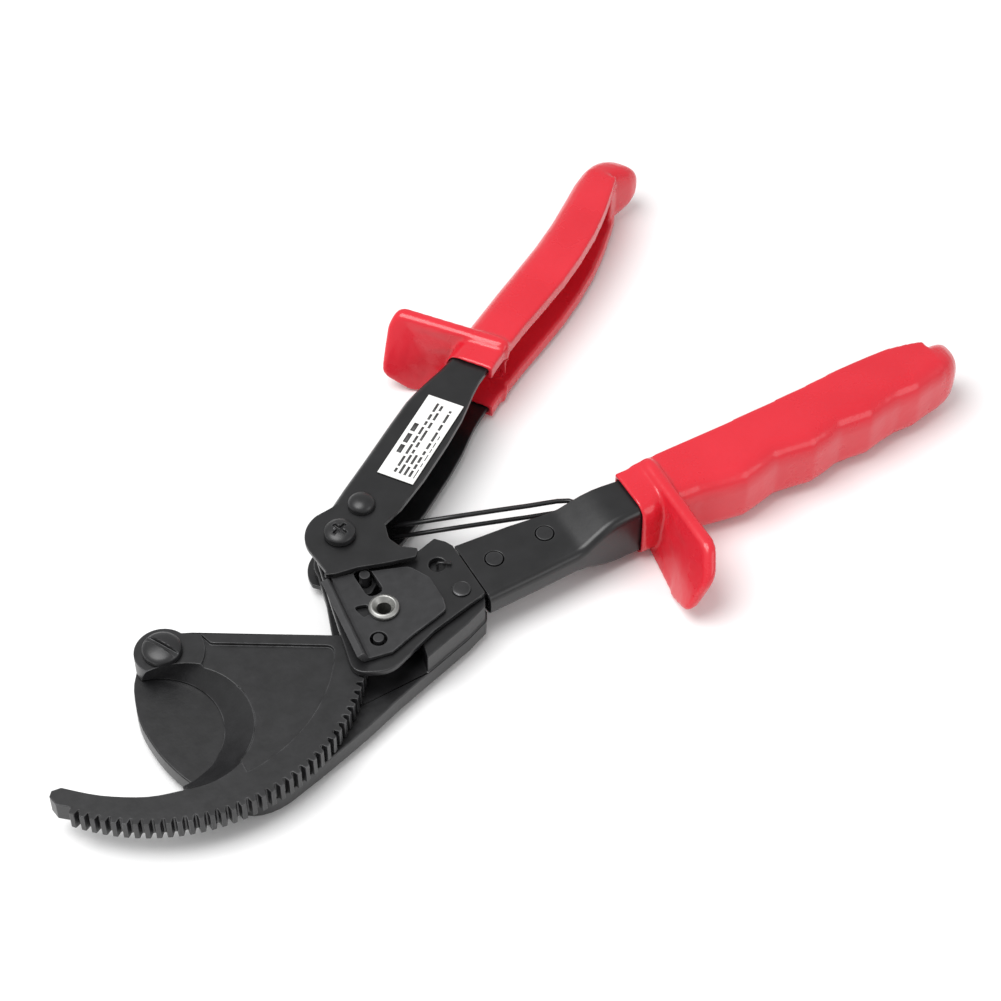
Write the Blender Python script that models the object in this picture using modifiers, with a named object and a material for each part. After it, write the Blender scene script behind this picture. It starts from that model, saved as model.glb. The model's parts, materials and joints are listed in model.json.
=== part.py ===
"""Ratcheting cable cutter, lying flat. Metres, +Z up.

The blade pivot is the origin, +X runs along the fixed handle and +Z through the thickness. The pieces
are drawn in millimetres and scaled by MM.
"""
import math

import bmesh
import bpy
from mathutils import Matrix, Vector

MM = 0.001
GAP = 0.3                    # clearance between pieces that meet
SINK = 0.06                  # step between faces that would otherwise share a plane
SEAT = 0.12                  # gap under a fastener's head
PI = math.pi

# ---- driving dimensions, mm ----
FORGE_T = 6.0                # fixed blade forging
BLADE_T = 6.8                # moving blade
PLATE_T = 2.0                # side plate
LEVER_T = 1.2                # release lever sheet
FLANGE_T = 1.8               # stamped handle sheet
REAR_STEP = 1.1              # moving handle's rear lobe above the forging's underside
TOOTH_TIP_R = 58.6
TOOTH_DEPTH = 1.8
TOOTH_COUNT = 40
TOOTH_PITCH = 2.95           # degrees
BOSS_R = 8.2
PIVOT_SHANK_R = 4.0
PIVOT_HEAD_R = 5.8
BACK_OFFSET = 7.0            # blade's straight back from the pivot
NOTCH_R = 17.5               # cutting notch of the fixed blade, for a 32 mm cable
HINGE_R = 3.2                # barrel nut that the moving handle turns on
HINGE_LUG_R = 8.4            # frame plates round the hinge, inside the moving handle's sheet
SPREAD = 36.2                # degrees between the handles, open
GRIP_H = 22.4                # grip through the thickness
GUARD_RISE = 1.55            # guard rim above the grip's faces
GRIP_SKIN = 1.5              # dipped coat outside the sheet
GRIP_LINING = 0.9            # dipped coat inside the channel
GRIP_ROUND = 6.2             # rounding of a grip's back
GRIP_LIP = 1.4               # coat past the sheet's free edges
FIXED_GRIP_START = 142.0     # collar, along the fixed handle
FIXED_GRIP_END = 263.5
MOVING_GRIP_START = 76.0     # collar, from the handle hinge
MOVING_GRIP_END = 184.8
LOBE_R = 10.4                # moving handle's sheet round the hinge
PANEL_DEPTH = 1.0            # recess in the moving blade's face
WIRE_R = 0.75

# ---- levels through the thickness ----
STACK = FORGE_T + BLADE_T + PLATE_T + LEVER_T + FLANGE_T + 4 * GAP     # forging to front lobe
MOVING_NECK_HALF = (STACK - REAR_STEP) / 2  # moving handle's flanges, level with its head lobes
MID = GUARD_RISE + GRIP_H / 2
FORGE_LO = MID - MOVING_NECK_HALF - REAR_STEP
FORGE_HI = FORGE_LO + FORGE_T
NUT_H = FORGE_LO - GAP                      # blade pivot nut, down to the plane the tool rests on
BLADE_LO = FORGE_HI + GAP
BLADE_HI = BLADE_LO + BLADE_T
PLATE_LO = BLADE_HI + GAP
PLATE_HI = PLATE_LO + PLATE_T
LEVER_LO = PLATE_HI + GAP
LEVER_HI = LEVER_LO + LEVER_T
LOBE_LO = LEVER_HI + GAP
LOBE_HI = LOBE_LO + FLANGE_T
REAR_LOBE_LO = FORGE_LO + REAR_STEP
WEB_LO = REAR_LOBE_LO + FLANGE_T + GAP      # forging where the rear lobe passes under it
WIDE_HALF = GRIP_H / 2 - GRIP_SKIN - 0.1    # handle sheet under the grip
FIXED_NECK_HALF = 4.3                       # handle sheet where it clamps the tang

# ---- places ----
HINGE = Vector((61.6, 9.2))
LEVER_PIN = Vector((61.0, -19.7))           # eyelet
TIE_PIN = Vector((54.8, -28.4))             # ties the lever to the holding pawl
SLOT_PIN = Vector((61.9, -5.7))             # drive pawl pin in the lever's slot
PAWL_PIN = HINGE + Vector((10.7, 7.1)).normalized() * (HINGE_LUG_R + 4.4413)    # domed rivet
PLATE_RIVET = Vector((84.4, -23.2))
SPRING_HOLE = Vector((82.6, -11.6))
HANDLE_X0 = 90.6                            # end of the fixed handle's sheet
TANG_RIVETS = (Vector((98.6, -17.0)), Vector((116.2, -15.8)))
TANG_END = 120.6
SPRING_ANCHOR = Vector((134.0, -16.5))
SPRING_TOE = (14.0, -9.6)                   # ends of the return spring, along and across the moving handle
ALONG = Vector((math.cos(math.radians(SPREAD)), math.sin(math.radians(SPREAD))))
ACROSS = Vector((-ALONG.y, ALONG.x))


# ---------------------------------------------------------------- scene and helpers
def clear_scene():
    for old in list(bpy.data.objects):
        bpy.data.objects.remove(old, do_unlink=True)


def new_collection(name, hidden=False):
    group = bpy.data.collections.new(name)
    bpy.context.scene.collection.children.link(group)
    group.hide_render = hidden
    return group


clear_scene()
PARTS = new_collection("ratchet_cable_cutter")
CUTTERS = new_collection("cutters", hidden=True)


def material(name, colour, roughness, metallic):
    made = bpy.data.materials.new(name)
    made.use_nodes = True
    shader = made.node_tree.nodes["Principled BSDF"]
    shader.inputs["Base Color"].default_value = (*colour, 1)
    shader.inputs["Roughness"].default_value = roughness
    shader.inputs["Metallic"].default_value = metallic
    made.diffuse_color = (*colour, 1)
    return made


BLACK = material("blackened_steel", (0.035, 0.035, 0.037), 0.38, 0.75)
RED = material("dipped_vinyl", (0.80, 0.055, 0.075), 0.28, 0.0)
SILVER = material("bright_pin", (0.62, 0.62, 0.60), 0.3, 1.0)
PAPER = material("label_paper", (0.82, 0.82, 0.80), 0.6, 0.0)


def new_object(name, mesh, group=PARTS, skin=BLACK):
    mesh.materials.clear()
    mesh.materials.append(skin)
    made = bpy.data.objects.new(name, mesh)
    group.objects.link(made)
    return made


def from_bmesh(name, build, group=PARTS, skin=BLACK):
    """Object from a function that fills a bmesh in mm."""
    bm = bmesh.new()
    build(bm)
    bmesh.ops.scale(bm, vec=(MM, MM, MM), verts=bm.verts)
    bmesh.ops.recalc_face_normals(bm, faces=bm.faces)
    mesh = bpy.data.meshes.new(name)
    bm.to_mesh(mesh)
    bm.free()
    return new_object(name, mesh, group, skin)


def cylinder(name, centre, radius, lo, hi, group=PARTS, skin=BLACK, sides=32, top_radius=None):
    top_radius = radius if top_radius is None else top_radius

    def build(bm):
        bmesh.ops.create_cone(bm, cap_ends=True, segments=sides, radius1=radius,
                              radius2=top_radius, depth=hi - lo,
                              matrix=Matrix.Translation((centre[0], centre[1], (lo + hi) / 2)))
    return from_bmesh(name, build, group, skin)


def box(name, lo, hi, group=PARTS, skin=BLACK):
    def build(bm):
        bmesh.ops.create_cube(bm, size=1)
        bmesh.ops.scale(bm, vec=[b - a for a, b in zip(lo, hi)], verts=bm.verts)
        bmesh.ops.translate(bm, vec=[(a + b) / 2 for a, b in zip(lo, hi)], verts=bm.verts)
    return from_bmesh(name, build, group, skin)


def to_mesh_object(source, name, group, skin):
    """The evaluated mesh of a curve object as a mesh object, with its caps welded."""
    bpy.context.view_layer.update()
    graph = bpy.context.evaluated_depsgraph_get()
    mesh = bpy.data.meshes.new_from_object(source.evaluated_get(graph))
    bm = bmesh.new()
    bm.from_mesh(mesh)
    bmesh.ops.remove_doubles(bm, verts=bm.verts, dist=1e-6)
    bmesh.ops.recalc_face_normals(bm, faces=bm.faces)
    bm.to_mesh(mesh)
    bm.free()
    matrix = source.matrix_world.copy()
    bpy.data.objects.remove(source, do_unlink=True)
    made = new_object(name, mesh, group, skin)
    made.matrix_world = matrix
    return made


def flat(name, outline, lo, hi, group=PARTS, skin=BLACK):
    """Plate between two levels, from a closed outline in mm."""
    curve = bpy.data.curves.new(name, "CURVE")
    curve.dimensions = "2D"
    curve.fill_mode = "BOTH"
    curve.extrude = (hi - lo) / 2 * MM
    spline = curve.splines.new("POLY")
    spline.points.add(len(outline) - 1)
    for point, (x, y) in zip(spline.points, outline):
        point.co = (x * MM, y * MM, 0, 1)
    spline.use_cyclic_u = True
    source = bpy.data.objects.new(name + "_outline", curve)
    source.location.z = (lo + hi) / 2 * MM
    group.objects.link(source)
    return to_mesh_object(source, name, group, skin)


def combine(target, other, operation):
    """Applies one Boolean to target at once and removes the other object."""
    step = target.modifiers.new(operation.lower(), "BOOLEAN")
    step.operation = operation
    step.solver = "EXACT"
    step.object = other
    bpy.context.view_layer.update()
    graph = bpy.context.evaluated_depsgraph_get()
    mesh = bpy.data.meshes.new_from_object(target.evaluated_get(graph))
    target.modifiers.clear()
    old = target.data
    target.data = mesh
    mesh.name = target.name
    skin = old.materials[0]
    mesh.materials.clear()
    mesh.materials.append(skin)
    bpy.data.meshes.remove(old)
    bpy.data.objects.remove(other, do_unlink=True)
    return target


def cut(target, other):
    return combine(target, other, "DIFFERENCE")


def join(target, other):
    return combine(target, other, "UNION")


def drill(target, centre, radius, lo=-5, hi=40, sides=32):
    return cut(target, cylinder("drill", centre, radius, lo, hi, CUTTERS, sides=sides))


def soften(made, width=0.35, segments=1, angle=35):
    """Small rounded edge on a finished solid."""
    edge = made.modifiers.new("edge", "BEVEL")
    edge.width = width * MM
    edge.segments = segments
    edge.limit_method = "ANGLE"
    edge.angle_limit = math.radians(angle)
    edge.use_clamp_overlap = True
    return made


def shade(made, angle=35):
    made.data.shade_smooth()
    made.data.set_sharp_from_angle(angle=math.radians(angle))


def put_origin(made, spot):
    """Moves the object's origin onto its joint axis and leaves its solid where it is."""
    made.data.transform(made.matrix_world)
    origin = Vector((spot[0] * MM, spot[1] * MM, 0))
    made.data.transform(Matrix.Translation(-origin))
    made.matrix_world = Matrix.Translation(origin)


def arc(centre, radius, start, end, steps):
    """Points on an arc, degrees, both ends included."""
    spots = [math.radians(start + (end - start) * i / steps) for i in range(steps + 1)]
    return [(centre[0] + radius * math.cos(a), centre[1] + radius * math.sin(a)) for a in spots]


def rounded(points, radius, steps=5):
    """Closed outline whose corners are rounded, each by its own radius or by one for all."""
    out = []
    count = len(points)
    radii = radius if isinstance(radius, (list, tuple)) else [radius] * count
    for i, corner in enumerate(points):
        here = Vector(corner)
        before = Vector(points[i - 1]) - here
        after = Vector(points[(i + 1) % count]) - here
        half = before.angle(after) / 2
        if radii[i] <= 0:
            out.append(tuple(here))
            continue
        reach = min(radii[i] / math.tan(half), 0.45 * before.length, 0.45 * after.length)
        first = here + before.normalized() * reach
        last = here + after.normalized() * reach
        for k in range(steps + 1):
            t = k / steps
            spot = first * (1 - t) ** 2 + here * (2 * t * (1 - t)) + last * t ** 2
            out.append(tuple(spot))
    return out


def smooth_line(points, steps=6):
    """Catmull-Rom points through the given ones."""
    ends = [points[0], *points, points[-1]]
    out = []
    for a, b, c, d in zip(ends, ends[1:], ends[2:], ends[3:]):
        a, b, c, d = (Vector(p) for p in (a, b, c, d))
        for k in range(steps):
            t = k / steps
            out.append(tuple(0.5 * (2 * b + (c - a) * t + (2 * a - 5 * b + 4 * c - d) * t * t
                                    + (3 * b - a - 3 * c + d) * t ** 3)))
    return out + [tuple(points[-1])]


def wire(name, points, radius, skin=BLACK, sides_level=2):
    """Round wire along points in mm."""
    curve = bpy.data.curves.new(name, "CURVE")
    curve.dimensions = "3D"
    curve.bevel_depth = radius * MM
    curve.bevel_resolution = sides_level
    curve.use_fill_caps = True
    spline = curve.splines.new("POLY")
    spline.points.add(len(points) - 1)
    for point, spot in zip(spline.points, points):
        point.co = (*(v * MM for v in spot), 1)
    source = bpy.data.objects.new(name + "_path", curve)
    PARTS.objects.link(source)
    return to_mesh_object(source, name, PARTS, skin)


def local(s, n):
    """Point from the handle hinge, s along the moving handle and n to its outer side."""
    return HINGE + ALONG * s + ACROSS * n


def polar(radius, degrees):
    a = math.radians(degrees)
    return (radius * math.cos(a), radius * math.sin(a))


# ---------------------------------------------------------------- blades
TEETH_START = -23.5          # degrees, end of the tooth arc under the side plate
HOOK_TIP = TEETH_START - TOOTH_COUNT * TOOTH_PITCH - 3.0
THROAT_HI = (Vector((-6.0, -26.0)), TOOTH_TIP_R - 37.1)
THROAT_LO = (Vector((-12.5, -20.8)), THROAT_HI[1] - 2.0)
PANEL_R = TOOTH_TIP_R - 9.4


def tooth_points():
    """Sawtooth outline from the frame end to the hook tip: steep face, then a long ramp."""
    out = []
    for i in range(TOOTH_COUNT):
        start = TEETH_START - i * TOOTH_PITCH
        out.append(polar(TOOTH_TIP_R, start))
        out.append(polar(TOOTH_TIP_R, start - 0.46 * TOOTH_PITCH))
        out.append(polar(TOOTH_TIP_R - TOOTH_DEPTH, start - 0.58 * TOOTH_PITCH))
        out.append(polar(TOOTH_TIP_R - TOOTH_DEPTH, start - 0.80 * TOOTH_PITCH))
    return out


def back_line(along, offset=BACK_OFFSET):
    """Point on the blade's straight back."""
    direction = math.radians(-30.4)
    return (along * math.cos(direction) - offset * math.sin(direction),
            along * math.sin(direction) + offset * math.cos(direction))


def make_moving_blade():
    tip = [polar(TOOTH_TIP_R - inset, HOOK_TIP - turn) for inset, turn in ((1.0, 0.0), (2.4, 3.0), (4.2, 3.6))]
    hook = smooth_line([polar(TOOTH_TIP_R - inset, turn) for inset, turn in (
        (6.4, -146.2), (8.0, -133.6), (9.2, -119.1), (10.4, -107.4))], 4)
    outline = ([(-3.0, -6.5), (0.0, 6.9), back_line(8), back_line(TOOTH_TIP_R - 1.4)]
               + tooth_points() + tip + hook)
    blade = flat("moving_blade", outline, BLADE_LO, BLADE_HI)
    join(blade, cylinder("boss", (0, 0), BOSS_R, BLADE_LO, BLADE_HI, sides=48))
    throat = cylinder("throat", (0, 0), THROAT_LO[1], BLADE_LO, BLADE_HI, CUTTERS, sides=96,
                      top_radius=THROAT_HI[1])
    for vert in throat.data.vertices:
        share = (vert.co.z / MM - BLADE_LO) / BLADE_T
        centre = THROAT_LO[0].lerp(THROAT_HI[0], share)
        vert.co.x += centre.x * MM
        vert.co.y += centre.y * MM
        outward = (Vector((vert.co.x, vert.co.y)) / MM - centre)
        extra = outward.normalized() * (THROAT_HI[1] - THROAT_LO[1]) + THROAT_HI[0] - THROAT_LO[0]
        lean = extra * (1 if share > 0.5 else -1) * 0.1
        vert.co.x += lean.x * MM
        vert.co.y += lean.y * MM
        vert.co.z += (1 if share > 0.5 else -1) * 0.1 * BLADE_T * MM
    cut(blade, throat)
    panel_arc = arc((0, 0), PANEL_R, -33, -86, 20) + arc(THROAT_HI[0], THROAT_HI[1] - 1, -62, 42, 20)
    panel_outline = rounded([back_line(13.5, 3.4), back_line(PANEL_R - 0.3, 3.4)] + panel_arc
                            + arc((0, 0), 12.2, -50, 2, 8), [1.5, 5.0] + [0] * (len(panel_arc) + 9), 6)
    panel = flat("panel", panel_outline, BLADE_HI - PANEL_DEPTH, BLADE_HI + 2, CUTTERS)
    cut(blade, panel)
    drill(blade, (0, 0), PIVOT_SHANK_R + GAP)
    return blade


def make_fixed_blade():
    notch_centre = (28.0, -22.5)
    outer = smooth_line([(-8.6, 1.0), (-11.2, -3.5), (-14.2, -14.0), (-14.3, -23.5), (-13.0, -32.0),
                         (-10.2, -40.5), (-5.6, -48.5), (1.5, -55.0), (9.5, -56.4), (19.6, -54.0),
                         (31.0, -50.6), (42.3, -46.9), (53.4, -42.8), (65.0, -39.0)], 3)
    right = [(81.1, -33.8), (88.4, -30.6), (HANDLE_X0 - 0.6, -28.0), (HANDLE_X0 - 0.6, -8.0),
             (86.0, -3.4), (80.0, -5.2), (72.5, -3.8)]
    right += arc(HINGE, HINGE_LUG_R, -50, 185, 20) + [(50.8, -2.0), (46.8, -14.0)]
    notch = arc(notch_centre, NOTCH_R, 0, -258, 30)
    top = [(13.0, 1.0), (7.0, 5.6), (1.0, 8.4), (-5.0, 6.6)]
    forging = flat("fixed_blade", outer + right + notch + top, FORGE_LO, FORGE_HI)
    # shear edge: the notch is bevelled from the underside
    bevel = cylinder("bevel", notch_centre, NOTCH_R + 3.5, FORGE_LO - 1, FORGE_HI + 0.001, CUTTERS,
                     sides=60, top_radius=NOTCH_R - 0.4)
    keep = box("keep", (notch_centre[0] + 9, -60, -5), (notch_centre[0] + 40, 10, 20), CUTTERS)
    cut(bevel, keep)
    cut(forging, bevel)
    # thin web where the moving handle's rear lobe passes under the frame
    relief = flat("relief", [(40, -20.5), (74, -20.5), (80, -8), (95, 2), (95, 40), (30, 40), (40, 0)],
                  -5, WEB_LO, CUTTERS)
    cut(forging, relief)
    # full-depth block behind the blade's path, and the tang that the handle clamps
    block = flat("block", [(65.0, -38.6), (81.1, -33.4), (88.4, -30.2), (HANDLE_X0 - 0.8, -27.6),
                           (HANDLE_X0 - 0.8, -8.2), (80.5, -8.2), (75.5, -13.0), (69.5, -24.0),
                           (66.5, -32.0)], FORGE_HI - 1.5, BLADE_HI)
    join(forging, block)
    tang_half = FIXED_NECK_HALF - FLANGE_T - GAP
    tang = box("tang", (HANDLE_X0 - 6, -25.6, MID - tang_half), (TANG_END, -9.4, MID + tang_half))
    join(forging, tang)
    drill(forging, (0, 0), PIVOT_SHANK_R + GAP)
    drill(forging, HINGE, HINGE_R + GAP)
    drill(forging, LEVER_PIN, 2.6 + GAP)
    drill(forging, PLATE_RIVET, 2.2 + GAP)
    for spot in TANG_RIVETS:
        drill(forging, spot, 2.6 + GAP)
    return forging


def make_pivot():
    head_lo = BLADE_HI + GAP
    profile = [(0.01, 0), (PIVOT_HEAD_R, 0), (PIVOT_HEAD_R, 1.2)]
    profile += [(PIVOT_HEAD_R * math.cos(a), 1.2 + 1.9 * math.sin(a))
                for a in (0.35, 0.7, 1.05, 1.35)] + [(0.01, 3.1)]
    screw = turned("blade_pivot_screw", (0, 0), profile, head_lo)
    join(screw, cylinder("shank", (0, 0), PIVOT_SHANK_R, 0, head_lo + 0.5))
    slot = box("slot", (-8, -0.8, head_lo + 1.7), (8, 0.8, head_lo + 6), CUTTERS)
    slot.rotation_euler.z = math.radians(-62)
    cut(screw, slot)
    nut = cylinder("blade_pivot_nut", (0, 0), 6.9, 0, NUT_H, sides=6)
    drill(nut, (0, 0), PIVOT_SHANK_R + GAP)
    soften(nut, 0.4)


def turned(name, centre, profile, base, skin=BLACK, steps=32):
    """Solid of revolution about Z from (radius, height) pairs, by spinning rings."""
    def build(bm):
        rings = []
        for radius, height in profile:
            rings.append([bm.verts.new((centre[0] + radius * math.cos(2 * PI * k / steps),
                                        centre[1] + radius * math.sin(2 * PI * k / steps),
                                        base + height)) for k in range(steps)])
        for low, high in zip(rings, rings[1:]):
            for k in range(steps):
                bm.faces.new((low[k], low[(k + 1) % steps], high[(k + 1) % steps], high[k]))
        bm.faces.new(list(reversed(rings[0])))
        bm.faces.new(rings[-1])
    return from_bmesh(name, build, PARTS, skin)


def dome(name, centre, radius, base, side, rise, skin=BLACK, steps=28):
    """Button head: straight side, then a dome."""
    profile = [(radius, 0), (radius, side)]
    profile += [(radius * math.cos(a), side + rise * math.sin(a)) for a in (0.4, 0.8, 1.15, 1.4)]
    return turned(name, centre, profile, base, skin, steps)


# ---------------------------------------------------------------- frame plate, pins, rivets
def plate_outline():
    corner = rounded([polar(TOOTH_TIP_R - 7.3, 1.1), polar(TOOTH_TIP_R - 3.1, -38.6), (53.2, -39.4), (70.7, -32.3), (HANDLE_X0 - 0.6, -27.4),
                      (HANDLE_X0 - 0.6, -7.4), (88.8, -5.0), (86.4, -2.4), (80.0, -4.4),
                      (72.5, -3.4)] + arc(HINGE, HINGE_LUG_R, -50, 180, 18),
                     [0, 5, 9, 0, 0.8, 0.8, 0.4, 0.8, 3, 1] + [0] * 19, 5)
    return corner


def make_front_plate():
    plate = flat("front_side_plate", plate_outline(), PLATE_LO, PLATE_HI)
    drill(plate, HINGE, HINGE_R + GAP)
    drill(plate, LEVER_PIN, 2.6 + GAP)
    drill(plate, PLATE_RIVET, 2.2 + GAP)
    drill(plate, SPRING_HOLE, 2.5)
    # windows that the two pawl pins travel in
    drive_window = rounded([(58.4, -2.6), (64.6, -2.6), (64.2, -13.4), (57.6, -13.4)], 1.8, 3)
    cut(plate, flat("window", drive_window, 0, 40, CUTTERS))
    tie_window = arc(TIE_PIN, 3.2, 0, 345, 23)
    cut(plate, flat("window", tie_window, 0, 40, CUTTERS))
    return plate


def make_rivets():
    lo = FORGE_LO + 0.2
    plate_rivet = cylinder("side_plate_rivet", PLATE_RIVET, 2.2, lo, PLATE_HI - 0.1)
    join(plate_rivet, dome("head", PLATE_RIVET, 2.7, PLATE_HI + GAP, 0.1, 0.3))
    join(plate_rivet, cylinder("neck", PLATE_RIVET, 2.2, PLATE_HI - 0.5, PLATE_HI + GAP + 0.05))
    for index, spot in enumerate(TANG_RIVETS):
        cylinder(f"fixed_handle_rivet_{index + 1}", spot, 2.6, MID - FIXED_NECK_HALF + 0.1,
                 MID + FIXED_NECK_HALF + 0.15)


def make_eyelet():
    """Hollow zinc rivet that the lever and the holding pawl turn on."""
    profile = [(2.6, 0), (2.6, LEVER_HI + GAP - FORGE_LO - 0.2), (4.5, LEVER_HI + GAP - FORGE_LO),
               (4.5, LEVER_HI + GAP - FORGE_LO + 0.9), (3.7, LEVER_HI + GAP - FORGE_LO + 1.5),
               (2.6, LEVER_HI + GAP - FORGE_LO + 1.4)]
    eyelet = turned("lever_eyelet", LEVER_PIN, profile, FORGE_LO, SILVER)
    drill(eyelet, LEVER_PIN, 2.1)
    top = LEVER_HI + GAP + 1.6
    return cut(eyelet, cylinder("flare", LEVER_PIN, 1.9, top - 1.9, top + 0.1, CUTTERS, top_radius=3.5))


def make_hinge():
    """Barrel nut from the back, Phillips pan screw from the front."""
    barrel_hi = LOBE_HI + 0.1
    head_lo = REAR_LOBE_LO - GAP - 1.2
    nut = cylinder("handle_pivot_barrel_nut", HINGE, 5.4, head_lo, head_lo + 1.2)
    join(nut, cylinder("barrel", HINGE, HINGE_R, head_lo + 0.6, barrel_hi))
    drill(nut, HINGE, 2.1 + GAP, head_lo - 1)
    base = barrel_hi + GAP
    screw = dome("handle_pivot_screw", HINGE, 4.7, base, 1.5, 1.5)
    join(screw, cylinder("shank", HINGE, 2.1, head_lo + 2, base + 0.5))
    for turn in (20, 110):
        wing = box("wing", (-2.5, -0.55, base + 1.7), (2.5, 0.55, base + 5), CUTTERS)
        wing.rotation_euler.z = math.radians(turn)
        wing.location = (HINGE.x * MM, HINGE.y * MM, 0)
        cut(screw, wing)


# ---------------------------------------------------------------- handles
def u_ring(inner, outer, lo, hi, sheet, corner, side, steps=4):
    """Closed U section as (n, z) pairs; the spine is at n = outer and the flanges end at n = inner."""
    def quarter(cn, cz, r, start):
        return [(cn + r * math.cos(math.radians(start + 90 * k / steps)),
                 cz + r * math.sin(math.radians(start + 90 * k / steps))) for k in range(steps + 1)]
    width = abs(outer - inner)
    small = max(corner - sheet, 0.4)
    path = [(0, hi)] + list(reversed(quarter(width - corner, hi - corner, corner, 0)))
    path += list(reversed(quarter(width - corner, lo + corner, corner, 270))) + [(0, lo)]
    path += [(0, lo + sheet)] + quarter(width - sheet - small, lo + sheet + small, small, 270)
    path += quarter(width - sheet - small, hi - sheet - small, small, 0) + [(0, hi - sheet)]
    return [(inner + side * n, z) for n, z in path]


def loft(name, rings, group=PARTS, skin=BLACK):
    """Solid through closed rings of 3-D points with equal counts."""
    def build(bm):
        made = [[bm.verts.new(p) for p in ring] for ring in rings]
        count = len(rings[0])
        for low, high in zip(made, made[1:]):
            for k in range(count):
                bm.faces.new((low[k], low[(k + 1) % count], high[(k + 1) % count], high[k]))
        bm.faces.new(list(reversed(made[0])))
        bm.faces.new(made[-1])
        bm.normal_update()
        bmesh.ops.triangulate(bm, faces=[f for f in bm.faces if len(f.verts) > 4])
    return from_bmesh(name, build, group, skin)


def fixed_frame(s, n):
    return (s, n)


def moving_frame(s, n):
    spot = local(s, n)
    return (spot.x, spot.y)


def section_rings(stations, frame, side, sheet, corner, grow=0.0):
    """Rings of a channel; each station is (s, inner, outer, half height), grown by one clearance."""
    rings = []
    for s, inner, outer, half in stations:
        ring = u_ring(inner - side * grow, outer + side * grow, MID - half - grow, MID + half + grow,
                      sheet + 2 * grow, min(corner + grow, half), side)
        rings.append([(*frame(s, n), z) for n, z in ring])
    return rings


# stations: distance along, inner edge, spine, half height
FIXED_SHEET = [
    (HANDLE_X0, -7.2, -29.6, FIXED_NECK_HALF), (108.0, -8.2, -28.9, FIXED_NECK_HALF),
    (120.8, -9.6, -28.2, FIXED_NECK_HALF), (124.0, -10.1, -27.9, FIXED_NECK_HALF + 0.8),
    (127.5, -10.7, -27.5, 6.9), (131.0, -11.2, -27.1, WIDE_HALF - 1.2),
    (134.5, -11.6, -26.8, WIDE_HALF - 0.3), (138.0, -12.0, -26.6, WIDE_HALF),
    (FIXED_GRIP_START, -12.4, -26.6, WIDE_HALF)]
FIXED_GRIP = [
    (150.0, -12.6, -26.8, 0), (163.0, -12.4, -27.6, 0), (170.5, -12.3, -28.2, 0.5),
    (177.5, -12.2, -28.6, 1), (184.0, -12.0, -28.0, 0.5), (190.0, -11.8, -27.2, 0),
    (196.0, -11.6, -27.2, 0.5), (202.5, -11.3, -27.4, 1), (208.5, -11.0, -27.0, 0.5),
    (213.5, -10.8, -26.4, 0), (218.5, -10.4, -26.0, 0.5), (224.0, -10.0, -25.8, 1),
    (230.0, -9.8, -25.2, 0.4), (236.0, -9.8, -24.8, 0), (243.0, -10.2, -24.4, 0.4), (249.0, -11.4, -23.6, 0),
    (254.0, -12.8, -22.8, 0)]
FINGER_BUMP = 1.5            # coat heaped between the fingers
MOVING_SHEET = [
    (HINGE_LUG_R - 1.4, -9.0, 7.8, MOVING_NECK_HALF), (17.0, -11.6, 7.7, MOVING_NECK_HALF),
    (30.0, -12.8, 7.2, MOVING_NECK_HALF), (46.0, -13.1, 6.8, MOVING_NECK_HALF),
    (56.0, -12.8, 6.4, MOVING_NECK_HALF), (62.0, -12.1, 5.4, MOVING_NECK_HALF),
    (67.0, -11.5, 4.0, MOVING_NECK_HALF + 0.3), (71.5, -11.3, 2.6, WIDE_HALF),
    (MOVING_GRIP_START, -11.5, 1.7, WIDE_HALF)]
MOVING_GRIP = [
    (88.0, -12.3, 0.8), (98.0, -13.2, 0.0), (110.0, -14.8, -1.0), (122.0, -16.2, -2.2),
    (134.0, -16.8, -3.3), (146.0, -16.6, -3.7), (157.0, -15.4, -3.4), (166.0, -13.8, -3.0),
    (172.0, -12.6, -3.4)]


def fixed_stations():
    return FIXED_SHEET + [(s, inner + 1.2, outer + 1.2, WIDE_HALF) for s, inner, outer, _ in FIXED_GRIP]


def moving_stations():
    return MOVING_SHEET + [(s, inner, outer, WIDE_HALF) for s, inner, outer in MOVING_GRIP]


def lobe_outline():
    """Front head lobe of the moving handle with its hook-shaped tongue."""
    tongue = rounded([(50.4, -1.6), (54.0, -3.0), (60.5, -3.9), (68.5, -6.4), (77.4, -8.6), (79.4, -6.0),
                      (75.2, -3.0), (73.6, 1.4), (75.6, 8.2), (79.0, 12.0)],
                     [1.2, 2, 3, 3, 1.5, 1.0, 1.2, 3, 3, 0], 4)
    return tongue + [tuple(local(14.0, 4.0))] + arc(HINGE, LOBE_R, 105, 184, 18)


def make_moving_handle():
    handle = loft("moving_handle", section_rings(moving_stations(), moving_frame, 1, FLANGE_T, 2.6))
    join(handle, flat("lobe", lobe_outline(), LOBE_LO + SINK, LOBE_HI))
    rear = (rounded([(51.6, 3.6), (57.0, -0.6), (66.0, -1.0), (72.6, 2.4), (75.6, 8.2), (79.0, 12.0)],
                    [3, 3, 3, 2, 3, 0], 4) + [tuple(local(14.0, 4.0))] + arc(HINGE, LOBE_R, 105, 184, 18))
    join(handle, flat("lobe", rear, REAR_LOBE_LO + SINK, REAR_LOBE_LO + FLANGE_T - SINK))
    drill(handle, HINGE, HINGE_R + GAP)
    drill(handle, PAWL_PIN, 2.4 + GAP)
    return handle


def make_fixed_handle():
    handle = loft("fixed_handle", section_rings(fixed_stations(), fixed_frame, -1, FLANGE_T, 2.6))
    for spot in TANG_RIVETS:
        drill(handle, spot, 2.6 + GAP)
    drill(handle, SPRING_ANCHOR, 1.6 + GAP, hi=MID)
    return handle


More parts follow.
